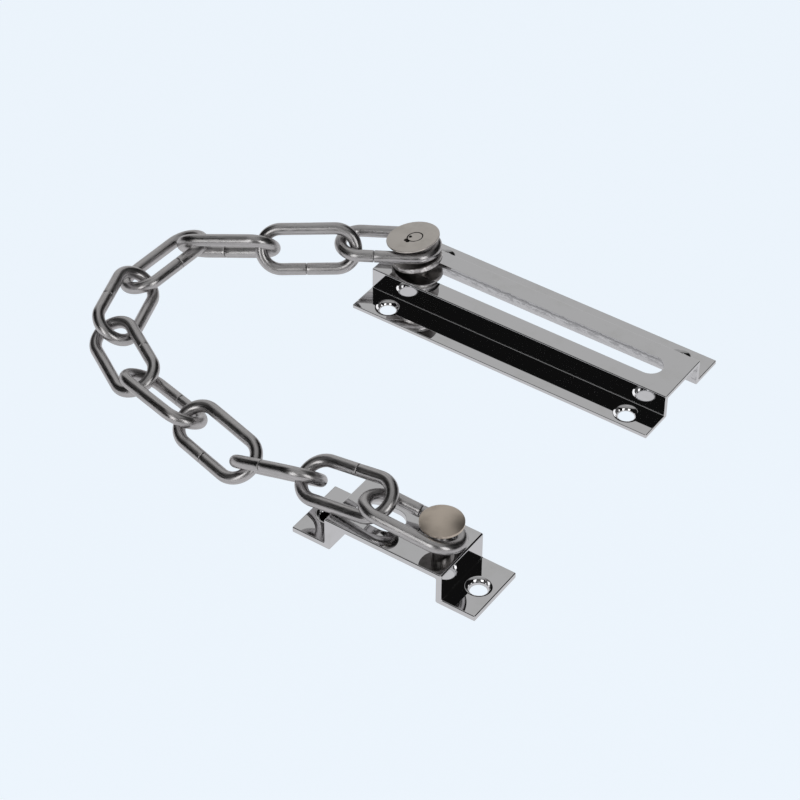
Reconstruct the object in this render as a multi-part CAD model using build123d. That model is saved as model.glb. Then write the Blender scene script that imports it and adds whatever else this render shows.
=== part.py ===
from build123d import *
import os

os.makedirs("parts", exist_ok=True)

# All sizes are in millimetres and all angles in degrees.
# The rail lies along X on its flanges at z = 0, with its screw pattern centred on the origin.

# Slide rail
rail_length = 110.0
rail_width = 43.2
rail_top_width = 21.0
rail_height = 9.0
rail_sheet = 1.4
rail_fold_inside = 0.3
rail_fold_outside = 0.4
rail_corner_radius = 0.3
slot_end_margin = 7.6
slot_length = rail_length - 2 * slot_end_margin
slot_width = 8.7
rail_hole_end = 10.2
rail_hole_edge = 5.3
rail_hole_spacing_x = rail_length - 2 * rail_hole_end
rail_hole_spacing_y = rail_width - 2 * rail_hole_edge

# Frame bracket
bracket_length = 64.4
bracket_flange = 11.6
bracket_top_length = bracket_length - 2 * bracket_flange
bracket_width = 21.8
bracket_height = 11.4
bracket_sheet = 2.0
bracket_fold_inside = 0.35
bracket_fold_outside = 0.45
bracket_corner_radius = 0.35
bracket_hole_edge = 5.8
bracket_hole_spacing = bracket_length - 2 * bracket_hole_edge
opening_length = 16.0
opening_width = 9.8
opening_end_margin = 4.6
opening_offset = opening_end_margin + (opening_length - bracket_top_length) / 2

# Countersunk screw holes in both plates
screw_hole_radius = 2.6
countersink_radius = 4.35
screw_land = 0.25

# Slider
slider_lean = 11.0
slider_tilt = 1.8
slot_neck_radius = 3.1
slot_end_clearance = 0.3
slider_x = slot_end_clearance + slot_neck_radius - slot_length / 2
foot_radius = 7.4
foot_thickness = 1.6
foot_depth = 2.4
foot_tenon_radius = 2.2
collar_radius = 8.3
collar_thickness = 1.65
collar_lift = 2.45
pin_radius = 2.75
pin_length = 6.75
cap_radius = 8.73
cap_thickness = 0.55
cap_edge_round = 0.15
rivet_radius = 2.4
rivet_dish = 0.35
edge_round = 0.3

# Bracket stud
stud_end_margin = 7.3
stud_offset = bracket_top_length / 2 - stud_end_margin
stud_pin_radius = 2.75
stud_pin_length = 8.8
stud_head_radius = 6.6
stud_head_rim = 1.0
stud_dome_height = 1.8
stud_tail_radius = 4.2
stud_tail_thickness = 1.4

# Chain links of round wire
wire_diameter = 4.0
link_length = 34.9
link_width = 17.2
seam_gap = 0.35
seam_chamfer = 0.2

# Where each link lies, counted from the slider to the stud, with the slider's x as zero:
# middle x, y, z, then yaw, pitch and roll, then where along its side the seam is, and on which side
link_lay = [
    (-9.289, -3.954, 15.454, -149.822, -0.566, 0.403, 4.1, 1),
    (-30.369, -18.782, 13.642, -148.606, -3.786, -62.789, 0.8, 1),
    (-53.735, -30.833, 11.977, -158.934, -10.302, 53.24, 3.1, -1),
    (-70.169, -43.86, 6.492, -98.118, -6.671, 19.439, -1.0, 1),
    (-66.452, -68.363, 6.211, -70.587, 0.412, -34.386, 2.0, 1),
    (-51.954, -87.331, 5.212, -30.528, -1.418, 25.323, 1.8, 1),
    (-28.828, -96.993, 6.194, -13.855, 0.925, -31.615, 1.2, 1),
    (-3.304, -102.99, 6.009, -13.107, -3.172, 31.796, -0.1, -1),
    (22.086, -106.356, 10.044, -4.294, 20.413, -43.22, -0.5, -1),
    (47.423, -107.0, 16.83, 0.494, 8.828, 27.388, 1.0, 1),
    (71.197, -107.552, 17.2, 4.367, -6.485, -14.97, -0.5, 1),
]

# Where the chain's end leaves the bracket, with its stud counted from the slider
stud_reach_x = 80.1
stud_reach_y = -105.8


def hat_strip(run, width, top_width, height, sheet, fold_inside, fold_outside):
    """Sheet strip folded to a hat section, running along X with its flanges on z = 0."""
    side = top_width / 2
    flange = width / 2
    outline = Polyline(
        (-flange, 0),
        (-flange, sheet),
        (-side, sheet),
        (-side, height),
        (side, height),
        (side, sheet),
        (flange, sheet),
        (flange, 0),
        (side - sheet, 0),
        (side - sheet, height - sheet),
        (sheet - side, height - sheet),
        (sheet - side, 0),
        close=True,
    )
    section = make_face(outline)
    inside = corners_at(section, side, sheet) + corners_at(section, side - sheet, height - sheet)
    section = fillet(inside, fold_inside)
    outside = corners_at(section, side, height) + corners_at(section, side - sheet, 0)
    section = fillet(outside, fold_outside)
    return extrude(Plane.YZ * section, run / 2, both=True)


def corners_at(section, out, height):
    """The section's corners at this distance from the middle and at this height."""
    return [v for v in section.vertices() if abs(abs(v.X) - out) < 1e-6 and abs(v.Y - height) < 1e-6]


def round_flange_corners(strip, flange, radius):
    """Round the upright corner edges of both flanges."""
    corners = [e for e in strip.edges().filter_by(Axis.Z) if abs(abs(e.center().Y) - flange) < 1e-6]
    return fillet(corners, radius)


def screw_hole(sheet):
    """Cutter for a countersunk screw hole in a flange that lies on z = 0."""
    depth = sheet - screw_land
    slope = (countersink_radius - screw_hole_radius) / depth
    over = 0.2
    cone = Cone(screw_hole_radius, countersink_radius + over * slope, depth + over)
    return Cylinder(screw_hole_radius, 4 * sheet) + Pos(0, 0, screw_land + (depth + over) / 2) * cone


def upright(radius, bottom, top):
    """Cylinder about Z between two heights."""
    return Pos(0, 0, (bottom + top) / 2) * Cylinder(radius, top - bottom)


def rim_edges(solid, radius, height):
    """The circular edges of this radius at this height."""
    circles = solid.edges().filter_by(GeomType.CIRCLE)
    return [e for e in circles if abs(e.radius - radius) < 1e-6 and abs(e.center().Z - height) < 1e-6]


def wire_link(seam_at, seam_side):
    """One open wire link about the origin, with its length along X and its width along Y."""
    bend = (link_width - wire_diameter) / 2
    half = (link_length - link_width) / 2
    side = seam_side * bend
    first = seam_at + seam_gap / 2
    last = seam_at - seam_gap / 2
    path = Wire([
        Line((first, side), (half, side)),
        ThreePointArc((half, side), (half + bend, 0), (half, -side)),
        Line((half, -side), (-half, -side)),
        ThreePointArc((-half, -side), (-half - bend, 0), (-half, side)),
        Line((-half, side), (last, side)),
    ])
    section = Plane(origin=path @ 0, z_dir=path % 0) * Circle(wire_diameter / 2)
    link = sweep(section, path=path)
    ends = [e for e in link.edges() if abs(abs(e.center().X - seam_at) - seam_gap / 2) < 1e-6]
    return chamfer(ends, seam_chamfer)


# Slide rail
slide_rail = hat_strip(
    rail_length,
    rail_width,
    rail_top_width,
    rail_height,
    rail_sheet,
    rail_fold_inside,
    rail_fold_outside,
)
slide_rail = round_flange_corners(slide_rail, rail_width / 2, rail_corner_radius)
slot = extrude(SlotOverall(slot_length, slot_width), 2 * rail_sheet, both=True)
slide_rail -= Pos(0, 0, rail_height) * slot
for hole in GridLocations(rail_hole_spacing_x, rail_hole_spacing_y, 2, 2):
    slide_rail -= hole * screw_hole(rail_sheet)

# Slider, built upright about its own axis with z = 0 in the middle of the rail's top plate
collar_top = collar_lift + collar_thickness
cap_bottom = collar_top + pin_length
cap_top = cap_bottom + cap_thickness
foot_bottom = -foot_depth - foot_thickness
slider_spindle = (
    upright(foot_tenon_radius, foot_bottom, -foot_depth)
    + upright(slot_neck_radius, -foot_depth, collar_lift)
    + upright(collar_radius, collar_lift, collar_top)
    + upright(pin_radius, collar_top, cap_bottom)
    + upright(rivet_radius, cap_bottom, cap_top)
)
collar_rims = rim_edges(slider_spindle, collar_radius, collar_lift)
collar_rims += rim_edges(slider_spindle, collar_radius, collar_top)
slider_spindle = fillet(collar_rims, edge_round)
dish_radius = (rivet_radius**2 + rivet_dish**2) / (2 * rivet_dish)
slider_spindle -= Pos(0, 0, cap_top + dish_radius - rivet_dish) * Sphere(dish_radius)
knob_cap = upright(cap_radius, cap_bottom, cap_top) - upright(rivet_radius, cap_bottom, cap_top)
cap_rims = rim_edges(knob_cap, cap_radius, cap_bottom)
cap_rims += rim_edges(knob_cap, cap_radius, cap_top)
knob_cap = fillet(cap_rims, cap_edge_round)
slider_foot = upright(foot_radius, foot_bottom, -foot_depth)
slider_foot -= upright(foot_tenon_radius, foot_bottom, -foot_depth)
foot_rims = rim_edges(slider_foot, foot_radius, foot_bottom)
foot_rims += rim_edges(slider_foot, foot_radius, -foot_depth)
slider_foot = fillet(foot_rims, edge_round)

# The slider is slack in its slot, so it rests leaning towards the rail's end and a little to one side
slider_turn = Rot(0, -slider_lean, 0) * Rot(slider_tilt, 0, 0)
slider_place = Pos(slider_x, 0, rail_height - rail_sheet / 2) * slider_turn

# Frame bracket, about its own middle and running along X
frame_bracket = hat_strip(
    bracket_width,
    bracket_length,
    bracket_top_length,
    bracket_height,
    bracket_sheet,
    bracket_fold_inside,
    bracket_fold_outside,
)
frame_bracket = round_flange_corners(frame_bracket, bracket_length / 2, bracket_corner_radius)
frame_bracket = Rot(0, 0, 90) * frame_bracket
opening = extrude(SlotOverall(opening_length, opening_width), 2 * bracket_sheet, both=True)
frame_bracket -= Pos(opening_offset, 0, bracket_height) * opening
frame_bracket -= Pos(stud_offset, 0, bracket_height) * Cylinder(stud_pin_radius, 4 * bracket_sheet)
for hole in GridLocations(bracket_hole_spacing, 0, 2, 1):
    frame_bracket -= hole * screw_hole(bracket_sheet)

# Stud, a rivet with a domed head, about its own axis with z = 0 on the bracket's top
head_bottom = stud_pin_length
head_top = head_bottom + stud_head_rim
dome_radius = (stud_head_radius**2 + stud_dome_height**2) / (2 * stud_dome_height)
tail_top = -bracket_sheet
tail_bottom = tail_top - stud_tail_thickness
bracket_stud = upright(stud_head_radius, head_bottom, head_top + stud_dome_height)
bracket_stud &= Pos(0, 0, head_top + stud_dome_height - dome_radius) * Sphere(dome_radius)
bracket_stud += upright(stud_pin_radius, tail_top, head_bottom)
bracket_stud += upright(stud_tail_radius, tail_bottom, tail_top)
bracket_stud = fillet(rim_edges(bracket_stud, stud_tail_radius, tail_bottom), 2 * edge_round)
bracket_stud = fillet(rim_edges(bracket_stud, stud_head_radius, head_bottom), edge_round)
bracket_place = Pos(slider_x + stud_reach_x - stud_offset, stud_reach_y, 0)
stud_place = bracket_place * Pos(stud_offset, 0, bracket_height)

export_step(slide_rail, "parts/slide_rail.step")
export_step(slider_place * slider_spindle, "parts/slider_spindle.step")
export_step(slider_place * knob_cap, "parts/knob_cap.step")
export_step(slider_place * slider_foot, "parts/slider_foot.step")
export_step(bracket_place * frame_bracket, "parts/frame_bracket.step")
export_step(stud_place * bracket_stud, "parts/bracket_stud.step")
for number, (x, y, z, yaw, pitch, roll, seam_at, seam_side) in enumerate(link_lay, 1):
    place = Pos(slider_x + x, y, z) * Rot(0, 0, yaw) * Rot(0, -pitch, 0) * Rot(roll, 0, 0)
    export_step(place * wire_link(seam_at, seam_side), f"parts/link_{number:02d}.step")
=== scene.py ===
# %% [markdown]
# # A door chain in Blender
# A door chain is a folded rail with a sliding knob, a run of wire links and a small folded bracket.
# The CAD frame gives every piece its place. This lesson models each piece again with smooth surfaces,
# because flat CAD facets would break up the reflections of polished metal.

# %% Load the CAD frame
import math

import bpy
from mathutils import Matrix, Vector


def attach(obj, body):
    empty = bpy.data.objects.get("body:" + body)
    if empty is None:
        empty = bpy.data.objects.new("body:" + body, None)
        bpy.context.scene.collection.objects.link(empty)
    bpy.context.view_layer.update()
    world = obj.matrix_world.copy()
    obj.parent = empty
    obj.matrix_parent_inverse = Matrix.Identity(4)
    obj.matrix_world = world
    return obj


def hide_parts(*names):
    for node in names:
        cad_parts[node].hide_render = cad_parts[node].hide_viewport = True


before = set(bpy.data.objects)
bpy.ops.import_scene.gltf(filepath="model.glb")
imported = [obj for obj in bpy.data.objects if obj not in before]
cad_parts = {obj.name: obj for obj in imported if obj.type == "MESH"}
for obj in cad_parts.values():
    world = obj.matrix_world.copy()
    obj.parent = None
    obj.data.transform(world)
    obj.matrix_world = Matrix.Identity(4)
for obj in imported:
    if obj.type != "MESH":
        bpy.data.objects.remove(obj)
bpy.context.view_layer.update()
scene = bpy.context.scene
MM = 0.001

# %% [markdown]
# ## Helpers for modelling
# Every piece starts from a primitive and is shaped in edit mode.
# The helpers below pick vertices, edges or faces by where they are, so that each step says in numbers
# what a hand would click on.

# %% Selection helpers


def clear_selection():
    """Leave edit mode and deselect everything."""
    if bpy.context.mode != "OBJECT":
        bpy.ops.object.mode_set(mode="OBJECT")
    bpy.ops.object.select_all(action="DESELECT")


def activate(piece):
    """Make one object the only selected one."""
    clear_selection()
    piece.select_set(True)
    bpy.context.view_layer.objects.active = piece


def select(piece, kind, test):
    """In edit mode, select the vertices, edges or faces whose middle (and normal) pass the test."""
    bpy.ops.mesh.select_mode(type=kind)
    bpy.ops.mesh.select_all(action="DESELECT")
    bpy.ops.object.mode_set(mode="OBJECT")
    mesh = piece.data
    count = 0
    if kind == "VERT":
        for vertex in mesh.vertices:
            vertex.select = test(vertex.co)
            count += vertex.select
    elif kind == "EDGE":
        for edge in mesh.edges:
            start, end = (mesh.vertices[i].co for i in edge.vertices)
            edge.select = test(start, end)
            count += edge.select
    else:
        for face in mesh.polygons:
            face.select = test(face.center, face.normal)
            count += face.select
    bpy.ops.object.mode_set(mode="EDIT")
    return count


def extrude(x=0.0, y=0.0, z=0.0):
    """Extrude what is selected by a step in millimetres."""
    step = (x * MM, y * MM, z * MM)
    bpy.ops.mesh.extrude_region_move(TRANSFORM_OT_translate={"value": step})


def near(value, target, slack=0.01):
    """True if a length in metres is a length in millimetres, to within a slack in millimetres."""
    return abs(value / MM - target) < slack


def apply_modifier(piece, kind, **settings):
    """Add one modifier with its settings and apply it."""
    activate(piece)
    modifier = piece.modifiers.new(kind.lower(), kind)
    for key, value in settings.items():
        setattr(modifier, key, value)
    bpy.ops.object.modifier_apply(modifier=modifier.name)


def settle_in_place(piece):
    """Write a piece's place, turn and scale into its mesh."""
    activate(piece)
    bpy.ops.object.transform_apply(location=True, rotation=True, scale=True)


def settle(piece, location=(0, 0, 0), rotation=(0, 0, 0)):
    """Put a piece in its place (millimetres and degrees) and write the place into its mesh."""
    piece.location = Vector(location) * MM
    piece.rotation_euler = [math.radians(a) for a in rotation]
    settle_in_place(piece)


def smooth(piece, degrees):
    """Shade smooth, with a crease where faces meet at more than an angle."""
    activate(piece)
    bpy.ops.object.shade_smooth_by_angle(angle=math.radians(degrees))


# %% [markdown]
# ## The chain links
# A link is a length of round wire bent to an oval, its two ends butted together on one long side.
# A bevelled curve could give the oval too, but here it is drawn just as it is bent, which gives even rings
# of faces and two real ends: a circle is extruded along the straight, spun round the bend, and so on back
# to the seam. The ends are filled and their rims are broken by a small bevel.

# %% Link model
wire_radius = 2.0
bend_radius = 6.6
straight_half = 8.85
seam_gap = 0.14
seam_bevel = 0.22
wire_sides = 40
bend_steps = 40
merge_distance = 0.005 * MM
link_path = 4 * straight_half + 2 * math.pi * bend_radius


def run_wire(distance, steps):
    """Carry the open end of the wire straight along X."""
    for _ in range(steps):
        extrude(x=distance / steps)


def wire_bend(centre_x, side):
    """Carry the open end of the wire half round the end of the link."""
    centre = (centre_x * MM, 0, 0)
    bpy.ops.mesh.spin(steps=bend_steps, angle=math.pi, center=centre, axis=(0, 0, side))


def model_link(name, seam_at, seam_side):
    """A wire link about the origin, its length along X, its seam at seam_at on the side seam_side."""
    clear_selection()
    first = seam_at + seam_gap / 2
    last = seam_at - seam_gap / 2
    bpy.ops.mesh.primitive_circle_add(
        vertices=wire_sides,
        radius=wire_radius * MM,
        location=(first * MM, seam_side * bend_radius * MM, 0),
        rotation=(0, math.radians(90), 0),
    )
    link = bpy.context.object
    link.name = name
    settle_in_place(link)
    bpy.ops.object.mode_set(mode="EDIT")
    bpy.ops.mesh.select_all(action="SELECT")
    run_wire(straight_half - first, steps=6)
    wire_bend(straight_half, seam_side)
    run_wire(-2 * straight_half, steps=14)
    wire_bend(-straight_half, seam_side)
    run_wire(last + straight_half, steps=6)
    bpy.ops.mesh.select_all(action="SELECT")
    bpy.ops.mesh.remove_doubles(threshold=merge_distance)
    bpy.ops.mesh.select_mode(type="EDGE")
    bpy.ops.mesh.select_all(action="DESELECT")
    bpy.ops.mesh.select_non_manifold()
    bpy.ops.mesh.edge_face_add()
    select(
        link,
        "EDGE",
        lambda a, b: a.y * seam_side > 0
        and (near(a.x, first) and near(b.x, first) or near(a.x, last) and near(b.x, last)),
    )
    bpy.ops.mesh.bevel(offset=seam_bevel * MM, segments=3, affect="EDGES")
    bpy.ops.mesh.select_all(action="SELECT")
    bpy.ops.mesh.normals_make_consistent(inside=False)
    bpy.ops.object.mode_set(mode="OBJECT")
    return link


def mark_wire(link, seam_at, seam_side):
    """Store how far along the wire and where on its round each vertex is, for the drawing streaks."""
    spots = []
    for vertex in link.data.vertices:
        x, y, z = vertex.co / MM
        end = max(abs(x) - straight_half, 0.0)
        radial = math.hypot(end, y)
        swing = math.atan2(end, abs(y)) * bend_radius
        along = math.copysign(min(abs(x), straight_half) + swing, x)
        if y * seam_side < 0:
            along = link_path / 2 - along
        around = math.atan2(z, radial - bend_radius)
        spots += [
            (along - seam_at) % link_path * MM,
            wire_radius * math.cos(around) * MM,
            wire_radius * math.sin(around) * MM,
        ]
    link.data.attributes.new("wire_way", "FLOAT_VECTOR", "POINT").data.foreach_set("vector", spots)


# %% [markdown]
# Each link lies as it does in the photo: the middle of the link in millimetres, three turns in degrees
# (about Z, the slope of its length, and its roll), and where its seam is. The seam's place differs, so each
# link is modelled anew and not copied.
# A displacement of a few hundredths of a millimetre gives the wire the unevenness of a bent one.

# %% Link places
link_lay = (
    (-53.289, -3.954, 15.454, -149.822, -0.566, 0.403, 4.1, 1),
    (-74.369, -18.782, 13.642, -148.606, -3.786, -62.789, 0.8, 1),
    (-97.735, -30.833, 11.977, -158.934, -10.302, 53.24, 3.1, -1),
    (-114.169, -43.86, 6.492, -98.118, -6.671, 19.439, -1.0, 1),
    (-110.452, -68.363, 6.211, -70.587, 0.412, -34.386, 1.35, -1),
    (-95.954, -87.331, 5.212, -30.528, -1.418, 25.323, 1.8, 1),
    (-72.828, -96.993, 6.194, -13.855, 0.925, -31.615, 1.2, 1),
    (-47.304, -102.99, 6.009, -13.107, -3.172, 31.796, -0.1, -1),
    (-21.914, -106.356, 10.044, -4.294, 20.413, -43.22, -0.5, -1),
    (3.423, -107.0, 16.83, 0.494, 8.828, 27.388, 1.0, 1),
    (27.197, -107.552, 17.2, 4.367, -6.485, -14.97, -0.5, 1),
)
unevenness = bpy.data.textures.new("wire_unevenness", "CLOUDS")
unevenness.noise_scale = 7 * MM
links = []
for number, (x, y, z, yaw, pitch, roll, seam_at, seam_side) in enumerate(link_lay, 1):
    body = "link_%02d" % number
    link = model_link("wire_" + body, seam_at, seam_side)
    mark_wire(link, seam_at, seam_side)
    settle(link, (x, y, z), (roll, -pitch, yaw))
    apply_modifier(
        link,
        "DISPLACE",
        texture=unevenness,
        texture_coords="LOCAL",
        strength=0.08 * MM,
        mid_level=0.62,
    )
    smooth(link, degrees=50)
    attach(link, body)
    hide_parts(body)
    links.append(link)
print("links", len(links), "with", len(links[0].data.polygons), "faces each")

# %% [markdown]
# ## The folded plates
# The rail and the bracket are strips of sheet folded to a hat: flange, wall, top, wall, flange.
# A thin rectangle, the cut end of one flange, is extruded edge by edge round the hat, and the whole
# section is then extruded along its length. The folds are bevelled outside and inside. A block could be
# cut to the same shape, but the extruded strip keeps one clean edge along each fold to round.

# %% Hat section model


def model_hat(name, run, width, top_width, height, sheet, fold_inside, fold_outside):
    """A folded hat strip along X, standing on z = 0."""
    clear_selection()
    flange = (width - top_width) / 2
    bpy.ops.mesh.primitive_plane_add(size=1, rotation=(0, math.radians(90), 0))
    hat = bpy.context.object
    hat.name = name
    hat.scale = (sheet * MM, flange * MM, 1)
    hat.location = Vector((-run / 2, -width / 2 + flange / 2, sheet / 2)) * MM
    settle_in_place(hat)
    bpy.ops.object.mode_set(mode="EDIT")
    side = -top_width / 2
    slack = 0.01

    def pick(y=None, z=None, y_from=None, z_from=None, z_to=None):
        """Select the edges at a given y or z, or on one side of it."""
        select(
            hat,
            "EDGE",
            lambda a, b: (y is None or near(a.y, y) and near(b.y, y))
            and (z is None or near(a.z, z) and near(b.z, z))
            and (y_from is None or min(a.y, b.y) / MM > y_from - slack)
            and (z_from is None or min(a.z, b.z) / MM > z_from - slack)
            and (z_to is None or max(a.z, b.z) / MM < z_to + slack),
        )

    pick(y=side)
    extrude(y=sheet)
    pick(z=sheet, y_from=side)
    extrude(z=height - 2 * sheet)
    extrude(z=sheet)
    pick(y=side + sheet, z_from=height - sheet)
    extrude(y=top_width - 2 * sheet)
    extrude(y=sheet)
    pick(z=height - sheet, y_from=-side - sheet)
    extrude(z=-(height - 2 * sheet))
    extrude(z=-sheet)
    pick(y=-side, z_to=sheet)
    extrude(y=flange)
    bpy.ops.mesh.select_all(action="SELECT")
    bpy.ops.mesh.remove_doubles(threshold=merge_distance)
    extrude(x=run)
    bpy.ops.mesh.select_all(action="SELECT")
    bpy.ops.mesh.normals_make_consistent(inside=False)
    bpy.ops.mesh.dissolve_limited(angle_limit=math.radians(1))

    def bevel_folds(spots, radius):
        """Round the edges along the strip that pass through the given spots of its section."""
        picked = select(
            hat,
            "EDGE",
            lambda a, b: abs(a.x - b.x) / MM > run - slack
            and any(near(abs(a.y), y) and near(a.z, z) for y, z in spots),
        )
        bpy.ops.mesh.bevel(offset=radius * MM, segments=5, affect="EDGES")
        return picked

    half = top_width / 2
    outside = bevel_folds(((half, height), (half - sheet, 0)), fold_outside)
    inside = bevel_folds(((half, sheet), (half - sheet, height - sheet)), fold_inside)
    bpy.ops.object.mode_set(mode="OBJECT")
    print(name, "folds outside", outside, "inside", inside)
    return hat


# %% [markdown]
# The holes are cut with solid cutters. A screw hole cutter is a cylinder whose top face is extruded and
# widened to the countersink's cone. A slot cutter is a cylinder whose one half is moved along.
# The cone is cut a little narrow, since its rim is rounded outwards to full width afterwards.

# %% Cutters
screw_hole_radius = 2.6
countersink_radius = 4.35
cone_rounding = 1.0
screw_land = 0.25


def screw_cutter(x, y, sheet):
    """A countersunk screw hole through a flange of a given thickness."""
    clear_selection()
    bpy.ops.mesh.primitive_cylinder_add(
        vertices=72,
        radius=screw_hole_radius * MM,
        depth=(1 + screw_land) * MM,
        location=(x * MM, y * MM, (screw_land - 1) / 2 * MM),
    )
    cutter = bpy.context.object
    settle_in_place(cutter)
    bpy.ops.object.mode_set(mode="EDIT")
    select(cutter, "FACE", lambda centre, normal: normal.z > 0.9)
    extrude(z=sheet - screw_land)
    grow = (countersink_radius - cone_rounding) / screw_hole_radius
    bpy.ops.transform.resize(value=(grow, grow, 1))
    extrude(z=1)
    bpy.ops.object.mode_set(mode="OBJECT")
    return cutter


def slot_cutter(x, y, z, length, width):
    """A round-ended slot along X."""
    clear_selection()
    sides = 96
    middle = (x - (length - width) / 2) * MM
    bpy.ops.mesh.primitive_cylinder_add(
        vertices=sides,
        radius=width / 2 * MM,
        depth=6 * MM,
        location=(middle, y * MM, z * MM),
        rotation=(0, 0, math.pi / sides),
    )
    cutter = bpy.context.object
    settle_in_place(cutter)
    bpy.ops.object.mode_set(mode="EDIT")
    select(cutter, "VERT", lambda co: co.x > middle)
    bpy.ops.transform.translate(value=((length - width) * MM, 0, 0))
    bpy.ops.object.mode_set(mode="OBJECT")
    return cutter


def cut(piece, cutters):
    """Cut the cutters out of a piece and remove them."""
    for cutter in cutters:
        apply_modifier(piece, "BOOLEAN", operation="DIFFERENCE", object=cutter, solver="EXACT")
        bpy.data.objects.remove(cutter)


# %% [markdown]
# The flange corners are rounded in plan before the holes are cut. Afterwards the sharp edges are broken,
# each kind by its own amount: the rims of the countersinks most, the sheared outer edges less and the
# punched openings least. Polished edges mirror a wide sweep of the room, so they read as thin lines.

# %% Edge helpers


def round_corners(hat, run, width, radius):
    """Round the four upright corners of a hat's flanges."""
    activate(hat)
    bpy.ops.object.mode_set(mode="EDIT")
    select(
        hat,
        "EDGE",
        lambda a, b: near(abs(a.x), run / 2) and near(a.x, b.x / MM)
        and near(abs(a.y), width / 2) and near(a.y, b.y / MM),
    )
    bpy.ops.mesh.bevel(offset=radius * MM, segments=4, affect="EDGES")
    bpy.ops.object.mode_set(mode="OBJECT")


def break_edges(piece, width, segments, inside):
    """Bevel the sharp edges whose two ends pass a test."""
    activate(piece)
    bpy.ops.object.mode_set(mode="EDIT")
    bpy.ops.mesh.select_mode(type="EDGE")
    bpy.ops.mesh.select_all(action="DESELECT")
    bpy.ops.mesh.edges_select_sharp(sharpness=math.radians(30))
    bpy.ops.object.mode_set(mode="OBJECT")
    mesh = piece.data
    sharp = {edge.index for edge in mesh.edges if edge.select}
    points = [vertex.co / MM for vertex in mesh.vertices]
    wanted = {i for i in sharp if all(inside(points[v]) for v in mesh.edges[i].vertices)}
    bpy.ops.object.mode_set(mode="EDIT")
    bpy.ops.mesh.select_all(action="DESELECT")
    bpy.ops.object.mode_set(mode="OBJECT")
    for edge in mesh.edges:
        edge.select = edge.index in wanted
    bpy.ops.object.mode_set(mode="EDIT")
    bpy.ops.mesh.bevel(offset=width * MM, segments=segments, affect="EDGES")
    bpy.ops.object.mode_set(mode="OBJECT")
    return len(wanted)


def about(centres, radius, low):
    """A test for points above a height and no further than a radius from one of the centres."""
    return lambda c: c.z > low and any(math.hypot(c.x - x, c.y - y) < radius for x, y in centres)


def within(x, length, width, low):
    """A test for points above a height and in an opening of a length and width, or at its rim."""
    rim = 0.2
    return lambda c: c.z > low and abs(c.x - x) < length / 2 + rim and abs(c.y) < width / 2 + rim


def at_outline(length, width):
    """A test for points at the outer edges of a plate of a length and width."""
    zone = 0.6
    return lambda c: abs(c.x) > length / 2 - zone or abs(c.y) > width / 2 - zone


def break_hole_rims(piece, holes, sheet):
    """Round the rims of the countersinks and break those of the holes under them."""
    cones = about(holes, countersink_radius + 0.25, sheet - 0.1)
    lands = about(holes, screw_hole_radius + 0.1, 0.1)
    cone_edges = break_edges(piece, width=cone_rounding, segments=8, inside=cones)
    land_edges = break_edges(piece, width=0.12, segments=2, inside=lands)
    return [cone_edges, land_edges]


def flat_normals(piece):
    """Smooth the curved faces and keep the large flat faces truly flat."""
    smooth(piece, degrees=30)
    apply_modifier(piece, "WEIGHTED_NORMAL", mode="FACE_AREA", weight=100, keep_sharp=True)


# %% [markdown]
# The rail is the longer hat, in the thinner sheet. Each flange has two screw holes and the top has the slot
# that the slider runs in, which stops short of both ends.

# %% Slide rail
rail_length = 110.0
rail_width = 43.2
rail_top_width = 21.0
rail_height = 9.0
rail_sheet = 1.4
rail_holes = [(x, y) for x in (-44.8, 44.8) for y in (-16.3, 16.3)]
slot_length = 94.8
slot_width = 8.7
rail = model_hat(
    "rail_plate",
    rail_length,
    rail_width,
    rail_top_width,
    rail_height,
    rail_sheet,
    fold_inside=0.3,
    fold_outside=0.4,
)
round_corners(rail, rail_length, rail_width, radius=0.3)
rail_cutters = [screw_cutter(x, y, rail_sheet) for x, y in rail_holes]
rail_cutters.append(slot_cutter(0, 0, rail_height, slot_length, slot_width))
cut(rail, rail_cutters)
in_slot = within(0, slot_length, slot_width, rail_height - rail_sheet - 0.1)
rail_edges = break_hole_rims(rail, rail_holes, rail_sheet)
rail_edges.append(break_edges(rail, width=0.05, segments=2, inside=in_slot))
rail_outline = at_outline(rail_length, rail_width)
rail_edges.append(break_edges(rail, width=0.24, segments=4, inside=rail_outline))
flat_normals(rail)
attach(rail, "rail")
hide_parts("slide_rail")
print("rail edges broken", rail_edges, "faces", len(rail.data.polygons))

# %% [markdown]
# The bracket is the same kind of fold in thicker sheet, turned so that its flanges are at its ends.
# Its top has an oblong opening beside the stud.

# %% Frame bracket
bracket_at = (22.8, -105.8)
bracket_length = 64.4
bracket_top_length = 41.2
bracket_width = 21.8
bracket_height = 11.4
bracket_sheet = 2.0
bracket_holes = [(x, 0) for x in (-26.4, 26.4)]
opening_x = -8.0
opening_length = 16.0
opening_width = 9.8
bracket = model_hat(
    "bracket_plate",
    bracket_width,
    bracket_length,
    bracket_top_length,
    bracket_height,
    bracket_sheet,
    fold_inside=0.35,
    fold_outside=0.6,
)
round_corners(bracket, bracket_width, bracket_length, radius=0.35)
settle(bracket, rotation=(0, 0, 90))
bracket_cutters = [screw_cutter(x, y, bracket_sheet) for x, y in bracket_holes]
bracket_cutters.append(slot_cutter(opening_x, 0, bracket_height, opening_length, opening_width))
cut(bracket, bracket_cutters)
in_opening = within(opening_x, opening_length, opening_width, bracket_height - bracket_sheet - 0.1)
bracket_edges = break_hole_rims(bracket, bracket_holes, bracket_sheet)
bracket_edges.append(break_edges(bracket, width=0.16, segments=3, inside=in_opening))
bracket_outline = at_outline(bracket_length, bracket_width)
bracket_edges.append(break_edges(bracket, width=0.34, segments=4, inside=bracket_outline))
settle(bracket, (*bracket_at, 0))
flat_normals(bracket)
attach(bracket, "bracket")
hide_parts("frame_bracket")
print("bracket edges broken", bracket_edges, "faces", len(bracket.data.polygons))

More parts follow.
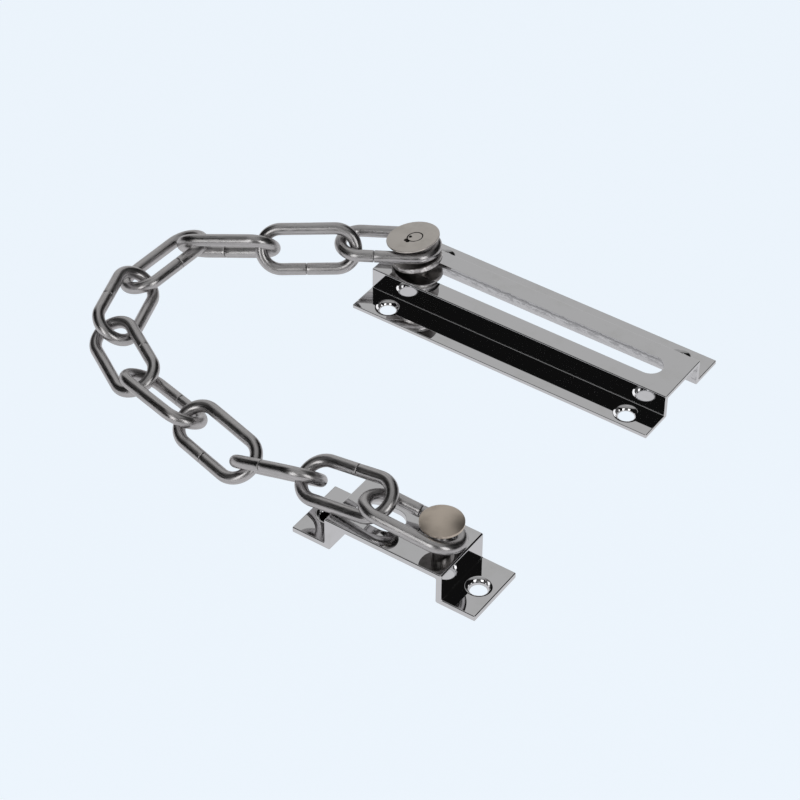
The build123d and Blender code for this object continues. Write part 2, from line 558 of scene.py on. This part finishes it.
# %% [markdown]
# ## The slider
# The slider is a turned pin with a collar above the rail. Its upper end is peened over in a thin cap and
# its lower end carries a disc below the plate. A profile could be spun to a turned piece in one go. Here
# it starts as a cylinder, and its end face is widened or narrowed and extruded, step by step, up or down
# the axis, so that every shoulder can be found again by its radius and height and rounded.

# %% Turning helpers


def start_turning(name, radius, low, high):
    """A cylinder along Z from low to high."""
    clear_selection()
    bpy.ops.mesh.primitive_cylinder_add(
        vertices=96,
        radius=radius * MM,
        depth=(high - low) * MM,
        location=(0, 0, (low + high) / 2 * MM),
    )
    piece = bpy.context.object
    piece.name = name
    settle_in_place(piece)
    bpy.ops.object.mode_set(mode="EDIT")
    return piece


def end_face(piece, up=True):
    """Select the topmost or lowest face of a turning."""
    bpy.ops.object.mode_set(mode="OBJECT")
    heights = [face.center.z for face in piece.data.polygons if abs(face.normal.z) > 0.99]
    bpy.ops.object.mode_set(mode="EDIT")
    goal = max(heights) if up else min(heights)
    select(
        piece,
        "FACE",
        lambda centre, normal: abs(centre.z - goal) < 0.001 * MM and abs(normal.z) > 0.99,
    )


def step_to(from_radius, to_radius, rise):
    """Add a shoulder on the selected end face, then extrude it along the axis."""
    extrude()
    grow = to_radius / from_radius
    bpy.ops.transform.resize(value=(grow, grow, 1))
    extrude(z=rise)


rim_slack = 0.02


def on_circle(point, radius):
    """True if a point is at a given radius from the axis."""
    return near(math.hypot(point.x, point.y), radius, rim_slack)


def round_rims(piece, rims, width, segments):
    """Bevel the rims at given radii and heights."""

    def on_rim(a, b):
        return any(
            on_circle(a, radius)
            and on_circle(b, radius)
            and near(a.z, height, rim_slack)
            and near(b.z, height, rim_slack)
            for radius, height in rims
        )

    select(piece, "EDGE", on_rim)
    bpy.ops.mesh.bevel(offset=width * MM, segments=segments, affect="EDGES")


def bridge_hole(piece, radius):
    """Join the two open rims of a hole of a given radius by its wall."""
    select(piece, "EDGE", lambda a, b: on_circle(a, radius) and on_circle(b, radius))
    bpy.ops.mesh.bridge_edge_loops()


def finish_turning(piece):
    """Merge doubles, point the normals outwards and leave edit mode."""
    bpy.ops.mesh.select_all(action="SELECT")
    bpy.ops.mesh.remove_doubles(threshold=0.002 * MM)
    bpy.ops.mesh.normals_make_consistent(inside=False)
    bpy.ops.object.mode_set(mode="OBJECT")
    smooth(piece, degrees=32)


# %% [markdown]
# The slider's sizes are heights and radii along its own axis, in millimetres, from a point near the rail's
# top. It leans in its slot, as it does in the photo, so every piece of it is settled by the same lean.

# %% Slider sizes
slider_at = (-44.0, 0.0, 8.3)
slider_lean = (1.8, -11.0, 0)
foot_radius = 7.4
foot_low = -4.0
foot_high = -2.4
tail_radius = 2.2
neck_radius = 3.1
collar_radius = 8.3
collar_low = 2.45
collar_high = 4.1
pin_radius = 2.75
cap_radius = 8.73
cap_low = 10.85
cap_high = 11.4
cap_hole_radius = 2.6
cap_mouth_radius = 2.75
peen_radius = 2.36
peen_at = (0.7, 0.15)
groove_inner = 2.2
groove_outer = 2.9
stake_marks = [(-0.8, -0.2, 0.6), (-1.1, -2.3, 0.75), (-0.2, -2.7, 0.75)]
print("slider is", round(cap_high - foot_low, 2), "mm long")

# %% [markdown]
# The top of the knob shows handwork: the peened end sits a little off the axis, with a groove round it, and
# punch marks stake it. A bump would only shade such marks, so a ball is cut out for each of them. Their
# faces get another finish, by its place in the piece's list of finishes: a near-black one, painted shade
# that makes the shallow marks look deep.

# %% Punch marks


def stake(piece, x, y, radius, depth):
    """Punch a round mark of a given radius and depth in the top of the knob with a ball."""
    clear_selection()
    ball_radius = (radius**2 + depth**2) / (2 * depth)
    bpy.ops.mesh.primitive_uv_sphere_add(
        segments=48,
        ring_count=48,
        radius=ball_radius * MM,
        location=(x * MM, y * MM, (cap_high - depth + ball_radius) * MM),
    )
    ball = bpy.context.object
    settle_in_place(ball)
    cut(piece, [ball])
    smooth(piece, degrees=32)


def mark_faces(piece, finish, test):
    """Give faces another of the piece's finishes, by a test of their centre (millimetres) and normal."""
    marked = 0
    for face in piece.data.polygons:
        if test(face.center / MM, face.normal):
            face.material_index = finish
            marked += 1
    return marked


def sunken(centre, normal):
    """True for a face in a stake mark or in the groove round the peened end."""
    in_top = cap_low < centre.z < cap_high - 0.02
    from_axis = math.hypot(centre.x - peen_at[0], centre.y - peen_at[1])
    in_mark = any(math.hypot(centre.x - x, centre.y - y) < radius for x, y, radius in stake_marks)
    return in_top and (in_mark or groove_inner < from_axis < groove_outer)


def shift_peen(piece, reach):
    """In edit mode, move the upper part of a peened end or of the hole round it off the axis."""
    low = (cap_low + 0.02) * MM
    select(piece, "VERT", lambda co: co.z > low and math.hypot(co.x, co.y) < reach * MM)
    bpy.ops.transform.translate(value=(peen_at[0] * MM, peen_at[1] * MM, 0))


# %% [markdown]
# The spindle's neck runs in the slot, its collar bears on the rail, its pin carries the first link and its
# peened end closes the cap. The end is inset twice, the second time with a little depth, for its dished
# middle. The rim of the collar gets a brighter finish of its own, a painted highlight.

# %% Slider spindle
spindle = start_turning("knob_spindle", neck_radius, foot_high, collar_low)
end_face(spindle, up=False)
step_to(neck_radius, tail_radius, foot_low - foot_high)
end_face(spindle)
step_to(neck_radius, collar_radius, collar_high - collar_low)
step_to(collar_radius, pin_radius, cap_low - collar_high)
step_to(pin_radius, peen_radius, cap_high - cap_low)
bpy.ops.mesh.inset(thickness=0.35 * MM)
bpy.ops.mesh.inset(thickness=0.75 * MM, depth=-0.12 * MM)
collar_rims = ((collar_radius, collar_low), (collar_radius, collar_high))
round_rims(spindle, collar_rims, width=0.35, segments=4)
end_rims = ((peen_radius, cap_high), (tail_radius, foot_low))
round_rims(spindle, end_rims, width=0.12, segments=2)
shift_peen(spindle, (peen_radius + cap_hole_radius) / 2)
finish_turning(spindle)
stake(spindle, *stake_marks[0], depth=0.35)
# Finish 1 paints the groove and the punch mark near black: painted shade.
sunk = mark_faces(spindle, 1, sunken)
# Finish 2 paints a highlight on the collar's rim, brighter than the rest of the collar.
rim_highlit = mark_faces(spindle, 2, lambda centre, normal: centre.xy.length > collar_radius - 0.4)
mark_faces(
    spindle,
    3,
    lambda centre, normal: centre.z > cap_low + 0.1
    and not sunken(centre, normal),
)
settle(spindle, slider_at, slider_lean)
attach(spindle, "slider")
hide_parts("slider_spindle")
print("spindle faces", len(spindle.data.polygons), "sunk", sunk, "rim_highlit", rim_highlit)

# %% [markdown]
# The cap is a thin disc with a hole for the spindle's peened end. Its two faces are inset to the size of
# the hole and opened, and the open rims are bridged, which gives a cleaner mesh than a cut. Two of the
# punch marks are in the cap.

# %% Knob cap
cap = start_turning("knob_disc", cap_radius, cap_low, cap_high)
end_face(cap)
bpy.ops.mesh.inset(thickness=(cap_radius - cap_mouth_radius) * MM)
bpy.ops.mesh.inset(thickness=(cap_mouth_radius - cap_hole_radius) * MM, depth=-0.25 * MM)
bpy.ops.mesh.delete(type="FACE")
end_face(cap, up=False)
bpy.ops.mesh.inset(thickness=(cap_radius - cap_hole_radius) * MM)
bpy.ops.mesh.delete(type="FACE")
bridge_hole(cap, cap_hole_radius)
round_rims(cap, ((cap_radius, cap_high), (cap_radius, cap_low)), width=0.12, segments=3)
shift_peen(cap, groove_outer)
finish_turning(cap)
for mark in stake_marks[1:]:
    stake(cap, *mark, depth=0.4)
# Finish 1 paints the cap's punch marks and its part of the groove near black: painted shade.
sunk = mark_faces(cap, 1, sunken)
# The cap's underside takes the darker turned steel: painted shade under the cap.
mark_faces(cap, 2, lambda centre, normal: normal.z < -0.5)
settle(cap, slider_at, slider_lean)
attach(cap, "slider")
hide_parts("knob_cap")
print("cap faces", len(cap.data.polygons), "sunk", sunk)

# %% [markdown]
# The foot is the disc under the rail's top that keeps the slider in the slot. It is hidden in the photo, so
# it is a plain one, made as the cap is, with a hole for the spindle's tail.

# %% Slider foot
foot = start_turning("knob_foot", foot_radius, foot_low, foot_high)
for up in (True, False):
    end_face(foot, up)
    bpy.ops.mesh.inset(thickness=(foot_radius - tail_radius) * MM)
    bpy.ops.mesh.delete(type="FACE")
bridge_hole(foot, tail_radius)
round_rims(foot, ((foot_radius, foot_low), (foot_radius, foot_high)), width=0.25, segments=3)
finish_turning(foot)
settle(foot, slider_at, slider_lean)
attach(foot, "slider")
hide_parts("slider_foot")
print("foot faces", len(foot.data.polygons))

# %% [markdown]
# ## The bracket stud
# The stud is a rivet with a shallow dome for a head. The dome is the top of a large sphere, cut off flat,
# which is rounder than a bevelled disc. Its rim, its pin and the tail peened under the plate are extruded
# down from the cut face.

# %% Bracket stud
stud_at = (36.1, -105.8)
head_radius = 6.6
dome_height = 1.3
rim_height = 0.8
stud_reach = 8.8
stud_pin_radius = 2.75
stud_tail_radius = 4.2
stud_tail_height = 1.4
head_low = bracket_height + stud_reach
ball_radius = (head_radius**2 + dome_height**2) / (2 * dome_height)
clear_selection()
bpy.ops.mesh.primitive_uv_sphere_add(segments=96, ring_count=128, radius=ball_radius * MM)
stud = bpy.context.object
stud.name = "stud_rivet"
bpy.ops.object.mode_set(mode="EDIT")
bpy.ops.mesh.select_all(action="SELECT")
bpy.ops.mesh.bisect(
    plane_co=(0, 0, (ball_radius - dome_height) * MM),
    plane_no=(0, 0, 1),
    use_fill=True,
    clear_inner=True,
)
bpy.ops.mesh.select_all(action="SELECT")
lift = head_low + rim_height - ball_radius + dome_height
bpy.ops.transform.translate(value=(0, 0, lift * MM))
end_face(stud, up=False)
extrude(z=-rim_height)
step_to(head_radius, stud_pin_radius, -stud_reach - bracket_sheet)
step_to(stud_pin_radius, stud_tail_radius, -stud_tail_height)
round_rims(stud, ((head_radius, head_low),), width=0.3, segments=4)
round_rims(stud, ((head_radius, head_low + rim_height),), width=0.12, segments=3)
finish_turning(stud)
# The underside of the head, the pin and the tail take the darker turned steel: painted shade under the
# dome.
mark_faces(stud, 1, lambda centre, normal: centre.z < head_low + 0.05)
settle(stud, (*stud_at, 0))
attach(stud, "bracket")
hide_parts("bracket_stud")
print("stud faces", len(stud.data.polygons))

# %% [markdown]
# ## Finishes
# All the metal is bright, but each piece has had its own treatment. The plates are polished and plated,
# the wire keeps long drawing streaks, the cap and the dome are satin, and the collar is plainly turned.
# The marks of handling and of drawing are node groups, so that any finish can use them.

# %% Node helpers


def put(tree, kind, values=None, **settings):
    """Add a node, set its own settings, then its inputs by name or number."""
    made = tree.nodes.new(kind)
    for key, value in settings.items():
        setattr(made, key, value)
    for key, value in (values or {}).items():
        made.inputs[key].default_value = value
    return made


def new_group(name, masks):
    """A node group from one vector to named masks; gives the group, its vector and its outputs."""
    group = bpy.data.node_groups.new(name, "ShaderNodeTree")
    group.interface.new_socket(name="Vector", in_out="INPUT", socket_type="NodeSocketVector")
    for mask in masks:
        group.interface.new_socket(name=mask, in_out="OUTPUT", socket_type="NodeSocketFloat")
    vector = group.nodes.new("NodeGroupInput").outputs["Vector"]
    return group, vector, group.nodes.new("NodeGroupOutput").inputs


def noise(tree, vector, scale, detail=2.0, rough=0.5):
    """A noise texture on a vector; gives its value socket."""
    made = put(tree, "ShaderNodeTexNoise", {"Scale": scale, "Detail": detail, "Roughness": rough})
    tree.links.new(vector, made.inputs["Vector"])
    return made.outputs["Fac"]


def remap(tree, value, low, high, to_low=0.0, to_high=1.0):
    """Map one range of values to another, smoothly and clamped."""
    made = put(
        tree,
        "ShaderNodeMapRange",
        {"From Min": low, "From Max": high, "To Min": to_low, "To Max": to_high},
        interpolation_type="SMOOTHSTEP",
    )
    tree.links.new(value, made.inputs["Value"])
    return made.outputs["Result"]


def scaled(tree, vector, scale):
    """A vector stretched by a scale along each axis."""
    made = put(tree, "ShaderNodeMapping", {"Scale": scale})
    tree.links.new(vector, made.inputs["Vector"])
    return made.outputs["Vector"]


def combine(tree, operation, first, second):
    """One math node on two sockets or numbers."""
    made = put(tree, "ShaderNodeMath", operation=operation)
    for place, value in enumerate((first, second)):
        if isinstance(value, (int, float)):
            made.inputs[place].default_value = value
        else:
            tree.links.new(value, made.inputs[place])
    return made.outputs["Value"]


def add_up(tree, base, *shares):
    """A base value plus each mask times its share."""
    total = base
    for mask, share in shares:
        total = combine(tree, "ADD", total, combine(tree, "MULTIPLY", mask, share))
    return total


def mix_colour(tree, factor, first, second):
    """A mix of two colours by a factor socket."""
    made = put(tree, "ShaderNodeMix", data_type="RGBA")
    tree.links.new(factor, made.inputs["Factor"])
    made.inputs["A"].default_value = (*first, 1)
    made.inputs["B"].default_value = (*second, 1)
    return made.outputs["Result"]


# %% [markdown]
# Two effects are groups: the marks of handling, with smudges, hair scratches in two directions and a slow
# wave of the surface, and the marks of drawing the wire, with long and short streaks and some scuffs.

# %% Shared effects
handling, place, handling_out = new_group("handling", ("Smudge", "Scratch", "Wave"))
smudge = remap(handling, noise(handling, place, 130, 5, 0.6), 0.48, 0.75)
fine = noise(handling, scaled(handling, place, (160, 2600, 2600)), 1, 3, 0.6)
cross = noise(handling, scaled(handling, place, (2200, 240, 2200)), 1, 3, 0.6)
fine_scratch = remap(handling, fine, 0.66, 0.8)
cross_scratch = remap(handling, cross, 0.68, 0.82)
scratch = combine(handling, "MAXIMUM", fine_scratch, cross_scratch)
handling.links.new(smudge, handling_out["Smudge"])
handling.links.new(scratch, handling_out["Scratch"])
handling.links.new(noise(handling, place, 75, 1), handling_out["Wave"])

drawing, way, drawing_out = new_group("wire_drawing", ("Streak", "Scuff"))
long_streak = noise(drawing, scaled(drawing, way, (90, 1700, 1700)), 1, 4, 0.6)
short_streak = noise(drawing, scaled(drawing, way, (420, 3400, 3400)), 1, 3, 0.6)
streak = add_up(drawing, 0.0, (long_streak, 0.65), (short_streak, 0.35))
scuff = noise(drawing, scaled(drawing, way, (260, 560, 560)), 1, 5, 0.65)
drawing.links.new(remap(drawing, streak, 0.36, 0.66), drawing_out["Streak"])
drawing.links.new(remap(drawing, scuff, 0.58, 0.72), drawing_out["Scuff"])
print("shared effects", [group.name for group in bpy.data.node_groups])

# %% [markdown]
# Each finish is one Principled shader with metal set to one. Its roughness and colour follow the masks,
# and a weak bump follows the heights. The depth given for a bump is the real depth of the marks.

# %% Finish helper


def new_finish(name, roughness, colour):
    """A metal of plain values, for masks to replace; gives it, its tree, shader and Object coordinates."""
    material = bpy.data.materials.new(name)
    material.use_nodes = True
    tree = material.node_tree
    tree.nodes.clear()
    output = put(tree, "ShaderNodeOutputMaterial")
    shader = put(
        tree,
        "ShaderNodeBsdfPrincipled",
        {"Metallic": 1.0, "Roughness": roughness, "Base Color": (*colour, 1)},
    )
    tree.links.new(shader.outputs["BSDF"], output.inputs["Surface"])
    where = put(tree, "ShaderNodeTexCoord").outputs["Object"]
    return material, tree, shader, where


def use_group(tree, group, vector):
    """Put a node group on a vector socket; gives its masks."""
    made = put(tree, "ShaderNodeGroup", node_tree=group)
    tree.links.new(vector, made.inputs["Vector"])
    return made.outputs


def bump(tree, shader, height, depth):
    """A bump on the shader's normal, its depth in millimetres."""
    made = put(tree, "ShaderNodeBump", {"Distance": depth * MM, "Strength": 1.0})
    tree.links.new(height, made.inputs["Height"])
    tree.links.new(made.outputs["Normal"], shader.inputs["Normal"])


# %% [markdown]
# The plates are polished sheet with bright plating. A mirror that is the same all over would look too
# clean, so smudges and hair scratches change its roughness, and a very shallow wave bends its reflections.

# %% Plated sheet
chrome, tree, shader, where = new_finish("plate_chrome", 0.05, (0.72, 0.72, 0.73))
wear = use_group(tree, handling, where)
rough = add_up(tree, 0.02, (wear["Smudge"], 0.05), (wear["Scratch"], 0.06))
tree.links.new(rough, shader.inputs["Roughness"])
tint = mix_colour(tree, wear["Smudge"], (0.73, 0.73, 0.74), (0.69, 0.69, 0.69))
tree.links.new(tint, shader.inputs["Base Color"])
bump(tree, shader, wear["Wave"], 0.012)
for piece in (rail, bracket):
    piece.data.materials.append(chrome)
print("plated", rail.name, bracket.name)

# %% [markdown]
# The slot is punched, not milled. The punch shears the upper part of the cut smooth and then tears the rest
# off rough, with a wavy line between the two. That line shows on the far side of the slot. Below it the
# inside of the fold was never polished, so it is dull and, in its upper part, pitted.

# %% Punched slot
punched, tree, shader, where = new_finish("punched_edge", 0.3, (0.6, 0.6, 0.61))
across = put(tree, "ShaderNodeSeparateXYZ")
tree.links.new(where, across.inputs["Vector"])
below_top = combine(tree, "SUBTRACT", rail_height * MM, across.outputs["Z"])
depth = combine(tree, "DIVIDE", below_top, rail_sheet * MM)
wander = combine(tree, "MULTIPLY", noise(tree, where, 420, 4, 0.65), 1.5)
torn = combine(tree, "ADD", combine(tree, "SUBTRACT", depth, 1.2), wander)
tear_line = remap(tree, combine(tree, "ABSOLUTE", torn, 0.0), 0.05, 0.28, 0.76, 0.0)
pitted = noise(tree, scaled(tree, where, (500, 1600, 1600)), 1, 3, 0.65)
pits = remap(tree, pitted, 0.45, 0.6, 0.0, 0.5)
pits = combine(tree, "MULTIPLY", pits, remap(tree, depth, 4.6, 5.9, 1.0, 0.0))
# The slot's cut face is painted darker: painted shade, for the shaded inside of the rail that it mirrors.
cavity_shade = remap(tree, depth, 1.0, 1.3, 0.45, 0.0)
dark = combine(tree, "MAXIMUM", tear_line, combine(tree, "MAXIMUM", cavity_shade, pits))
tint = mix_colour(tree, dark, (0.82, 0.82, 0.83), (0.26, 0.26, 0.27))
tree.links.new(tint, shader.inputs["Base Color"])
tree.links.new(remap(tree, torn, -0.05, 0.05, 0.16, 0.48), shader.inputs["Roughness"])
grit = combine(tree, "MULTIPLY", noise(tree, where, 3000, 3, 0.6), remap(tree, torn, -0.02, 0.04))
bump(tree, shader, grit, 0.05)
rail.data.materials.append(punched)
print("punched finish nodes", len(tree.nodes))

# %% Punched faces
activate(rail)
bpy.ops.object.mode_set(mode="EDIT")
inner_wall = rail_top_width / 2 - rail_sheet
slot_faces = select(
    rail,
    "FACE",
    lambda centre, normal: abs(normal.z) < 0.3
    and (in_slot(centre / MM) or near(abs(centre.y), inner_wall)),
)
rail.active_material_index = 1
bpy.ops.object.material_slot_assign()
bpy.ops.object.mode_set(mode="OBJECT")
print("punched faces", slot_faces)

# %% [markdown]
# The wire was drawn through a die, which leaves fine streaks along it. Object coordinates would run them
# straight across the bends, so they follow the attribute that was stored with each link.

# %% Drawn wire
wire_steel, tree, shader, _ = new_finish("chain_steel", 0.32, (0.46, 0.45, 0.45))
way = put(tree, "ShaderNodeAttribute", attribute_name="wire_way").outputs["Vector"]
marks = use_group(tree, drawing, way)
rough = add_up(tree, 0.24, (marks["Streak"], 0.14), (marks["Scuff"], 0.16))
tree.links.new(rough, shader.inputs["Roughness"])
tint = mix_colour(tree, marks["Streak"], (0.48, 0.47, 0.472), (0.66, 0.645, 0.645))
tree.links.new(tint, shader.inputs["Base Color"])
bump(tree, shader, combine(tree, "ADD", marks["Streak"], marks["Scuff"]), 0.004)
for link in links:
    link.data.materials.append(wire_steel)
print("wire finish on", len(links), "links")

# %% [markdown]
# The spindle and the foot are turned and left plain, so they are darker and blotched. The same recipe with
# other tones gives the collar's brighter rim, a painted highlight, and the near-black painted shade in the
# groove and the punch marks.

# %% Turned steel, the collar's painted highlight and painted shade


def turned_finish(name, bright, dull, roughness, bump_depth):
    """A plainly turned steel, blotched between two tones."""
    material, tree, shader, where = new_finish(name, roughness, bright)
    wear = use_group(tree, handling, where)
    rasp = noise(tree, where, 900, 3, 0.6)
    rough = add_up(tree, roughness, (wear["Smudge"], 0.15))
    tree.links.new(rough, shader.inputs["Roughness"])
    blotch = remap(tree, rasp, 0.4, 0.6)
    tree.links.new(mix_colour(tree, blotch, bright, dull), shader.inputs["Base Color"])
    bump(tree, shader, combine(tree, "ADD", rasp, wear["Scratch"]), bump_depth)
    return material


# Turned steel for the spindle and the foot; it is also painted shade on the undersides of the cap and the
# dome.
turned = turned_finish("turned_steel", (0.40, 0.385, 0.375), (0.34, 0.325, 0.315), 0.3, 0.02)
# A much brighter turned steel for the collar's rim: a painted highlight.
rim_painted_highlight = turned_finish("rim_painted_highlight", (0.86, 0.84, 0.83), (0.58, 0.56, 0.55), 0.34, 0.12)
# A near-black finish: painted shade in the groove and the punch marks.
recess_shade = turned_finish("recess_painted_shade", (0.07, 0.06, 0.052), (0.03, 0.026, 0.024), 0.5, 0.02)
print("turned finishes", turned.name, rim_painted_highlight.name, recess_shade.name)

# %% [markdown]
# The cap and the dome are satin: a grain too fine to be seen mark by mark, which spreads the reflections.
# It goes into the roughness and a faint bump. The dome is a little warmer than the cap.

# %% Satin cap and dome


def satin_finish(name, bright, dull, roughness):
    """A fine-grained satin metal between two tones."""
    material, tree, shader, where = new_finish(name, roughness, bright)
    wear = use_group(tree, handling, where)
    grain = noise(tree, where, 2600, 3, 0.6)
    rough = add_up(tree, roughness, (wear["Smudge"], 0.10), (grain, 0.08))
    tree.links.new(rough, shader.inputs["Roughness"])
    tint = mix_colour(tree, wear["Smudge"], bright, dull)
    tree.links.new(tint, shader.inputs["Base Color"])
    bump(tree, shader, grain, 0.004)
    return material


satin = satin_finish("satin_nickel", (0.70, 0.66, 0.615), (0.63, 0.595, 0.55), 0.32)
satin_dome = satin_finish("satin_dome", (0.72, 0.632, 0.54), (0.63, 0.552, 0.47), 0.32)
for piece, finishes in (
    (spindle, (turned, recess_shade, rim_painted_highlight, satin)),
    (cap, (satin, recess_shade, turned)),
    (stud, (satin_dome, turned)),
    (foot, (turned,)),
):
    for finish in finishes:
        piece.data.materials.append(finish)
print("finishes", [material.name for material in bpy.data.materials])

# %% [markdown]
# ## The studio
# Polished metal shows its surroundings more than itself. In the photo two soft boxes stand to the left and
# right of the camera, a grey backdrop stands behind the object and the rest of the room is dark.
# The floor is pale, keeps the object's shadow and is seen by the camera as part of the pale background.
# It lies far below the object, because at some joints' limits the chain hangs down past the mounting plane.

# %% Floor
floor_drop = 0.145
clear_selection()
bpy.ops.mesh.primitive_plane_add(size=6, location=(0, 0, -floor_drop))
floor = bpy.context.object
floor.name = "floor"
floor_paint = bpy.data.materials.new("floor_paint")
floor_paint.use_nodes = True
tree = floor_paint.node_tree
tree.nodes.clear()
matt = put(tree, "ShaderNodeBsdfDiffuse", {"Color": (0.80, 0.86, 0.93, 1)})
path = put(tree, "ShaderNodeLightPath")
to_camera = path.outputs["Is Camera Ray"]
paper = mix_colour(tree, to_camera, (0.755, 0.75, 0.765), (0.99, 1.07, 1.15))
glow = put(tree, "ShaderNodeEmission", {"Strength": 1.0})
tree.links.new(paper, glow.inputs["Color"])
seen = combine(tree, "MAXIMUM", to_camera, path.outputs["Is Glossy Ray"])
share = combine(tree, "MULTIPLY", seen, 0.80)
blend = put(tree, "ShaderNodeMixShader")
tree.links.new(share, blend.inputs["Fac"])
tree.links.new(matt.outputs["BSDF"], blend.inputs[1])
tree.links.new(glow.outputs["Emission"], blend.inputs[2])
output = put(tree, "ShaderNodeOutputMaterial")
tree.links.new(blend.outputs["Shader"], output.inputs["Surface"])
floor.data.materials.append(floor_paint)
print("floor", floor_drop, "m below the mounting plane")

# %% Room
backdrop_side = (-0.643, 0.766, 0)
front_side = (0.629, -0.777, 0)
world = bpy.data.worlds.new("room")
scene.world = world
world.use_nodes = True
tree = world.node_tree
tree.nodes.clear()
direction = put(tree, "ShaderNodeTexCoord").outputs["Generated"]


def toward(axis):
    """How far a direction points along an axis."""
    made = put(tree, "ShaderNodeVectorMath", {1: axis}, operation="DOT_PRODUCT")
    tree.links.new(direction, made.inputs[0])
    return made.outputs["Value"]


height = toward((0, 0, 1))
level_part = combine(tree, "SUBTRACT", 1.0, combine(tree, "MULTIPLY", height, height))
reach = combine(tree, "POWER", combine(tree, "MAXIMUM", level_part, 0.001), 0.5)
backward = combine(tree, "DIVIDE", toward(backdrop_side), reach)
backdrop = remap(tree, backward, 0.77, 0.93, 0.008, 0.515)
forward = combine(tree, "DIVIDE", toward(front_side), reach)
front = remap(tree, forward, 0.78, 0.92, 0.0, 0.12)
ceiling = remap(tree, height, 0.80, 0.90, 0.0, 0.38)
level = combine(tree, "MAXIMUM", combine(tree, "MAXIMUM", backdrop, front), ceiling)
room = put(tree, "ShaderNodeCombineColor")
for channel in ("Red", "Green", "Blue"):
    tree.links.new(level, room.inputs[channel])
pale = put(tree, "ShaderNodeBackground", {"Color": (0.847, 0.913, 0.982, 1), "Strength": 1.0})
dim = put(tree, "ShaderNodeBackground", {"Strength": 1.0})
tree.links.new(room.outputs["Color"], dim.inputs["Color"])
path = put(tree, "ShaderNodeLightPath")
blend = put(tree, "ShaderNodeMixShader")
tree.links.new(path.outputs["Is Camera Ray"], blend.inputs["Fac"])
tree.links.new(dim.outputs["Background"], blend.inputs[1])
tree.links.new(pale.outputs["Background"], blend.inputs[2])
output = put(tree, "ShaderNodeOutputWorld")
tree.links.new(blend.outputs["Shader"], output.inputs["Surface"])
print("room nodes", len(tree.nodes))

# %% Soft boxes
lamp_distance = 1.4
lamp_aim = Vector((0, -0.05, 0))


def soft_box(name, azimuth, elevation, width, height, power):
    """An area lamp that faces the object, its place in degrees and its sizes in metres."""
    lamp = bpy.data.lights.new(name, "AREA")
    lamp.shape = "RECTANGLE"
    lamp.size = width
    lamp.size_y = height
    lamp.energy = power
    lamp_object = bpy.data.objects.new(name, lamp)
    scene.collection.objects.link(lamp_object)
    a = math.radians(azimuth)
    e = math.radians(elevation)
    out = Vector((math.cos(e) * math.cos(a), math.cos(e) * math.sin(a), math.sin(e)))
    lamp_object.location = lamp_aim + out * lamp_distance
    lamp_object.rotation_euler = out.to_track_quat("Z", "Y").to_euler()


soft_box("soft_box_right", -20, 27, 0.55, 1.0, 3.0)
soft_box("soft_box_left", -88, 25, 0.55, 1.1, 3.2)
print("lamps", [lamp.name for lamp in bpy.data.lights])

# %% [markdown]
# ## The camera
# The camera's place and lens were found from the photo: the corners of the rail and the bracket and the
# outlines of the links line up with it.

# %% Camera and hand-over
lens = bpy.data.cameras.new("camera")
lens.sensor_width = 36
lens.lens = 125.545
camera = bpy.data.objects.new("camera", lens)
scene.collection.objects.link(camera)
camera.location = (0.350174, -0.588560, 0.571484)
camera.rotation_euler = [math.radians(a) for a in (48.7538, -0.3766, 34.6015)]
scene.camera = camera
scene.view_settings.view_transform = "Standard"
